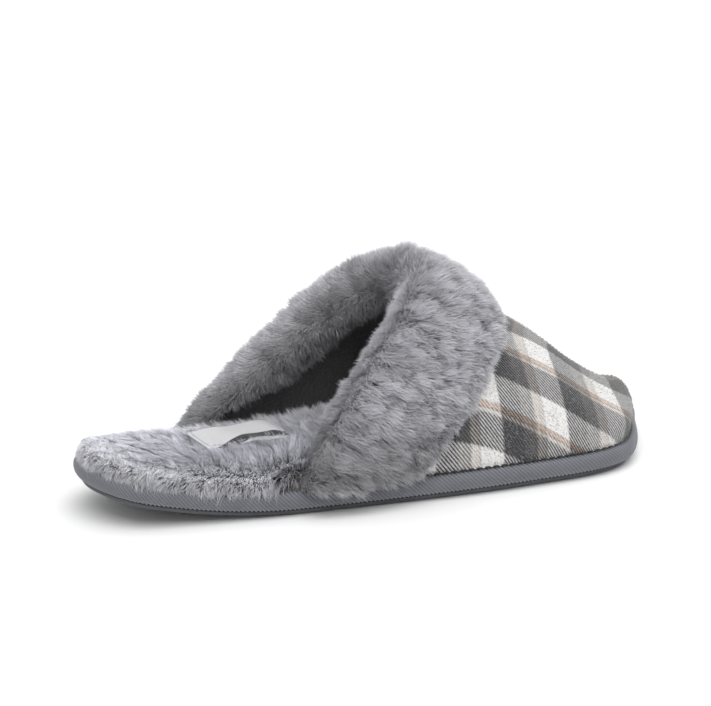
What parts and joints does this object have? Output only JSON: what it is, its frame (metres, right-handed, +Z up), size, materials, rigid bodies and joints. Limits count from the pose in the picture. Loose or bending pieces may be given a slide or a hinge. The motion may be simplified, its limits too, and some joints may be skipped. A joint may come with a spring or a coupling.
{
  "type": "house slipper",
  "caption": "Backless fluffy house slipper: flat wrapped sole, plush footbed, padded checked vamp and a deep faux-fur cuff folded over the opening.",
  "frame": {"origin": "middle of the slipper's footprint, on the floor", "axes": "+X along the sole towards the toe, +Y towards the wearer's left (the medial side of this right-foot slipper), +Z up"},
  "size_m": [0.2546, 0.0954, 0.0903],
  "materials": {
    "outsole_rubber": "matte moulded rubber with a fine tread",
    "wrap_tape": "ribbed woven tape, slate grey",
    "midsole_foam": "closed-cell foam, matte",
    "board": "pressed fibre board, matte",
    "comfort_foam": "open-cell foam, matte",
    "footbed_plush": "silky short-pile plush, light grey",
    "plaid_flannel": "brushed twill in a white, charcoal and tan check",
    "wadding": "bonded polyester wadding",
    "lining_fleece": "short charcoal fleece",
    "cuff_fur": "long soft faux fur, light grey",
    "label_satin": "woven satin, white with a dark wave",
    "seam_thread": "dark polyester thread",
    "label_thread": "pale polyester thread"
  },
  "bodies": {
    "root": {"outsole": "outsole_rubber", "sole_wrap": "wrap_tape", "midsole": "midsole_foam", "insole_board": "board", "footbed_foam": "comfort_foam", "footbed_fur": "footbed_plush", "vamp_outer": "plaid_flannel", "vamp_wadding": "wadding", "vamp_lining": "lining_fleece", "fur_cuff": "cuff_fur", "sock_label": "label_satin", "vamp_seam_thread": "seam_thread", "label_thread": "label_thread"}
  },
  "joints": []
}
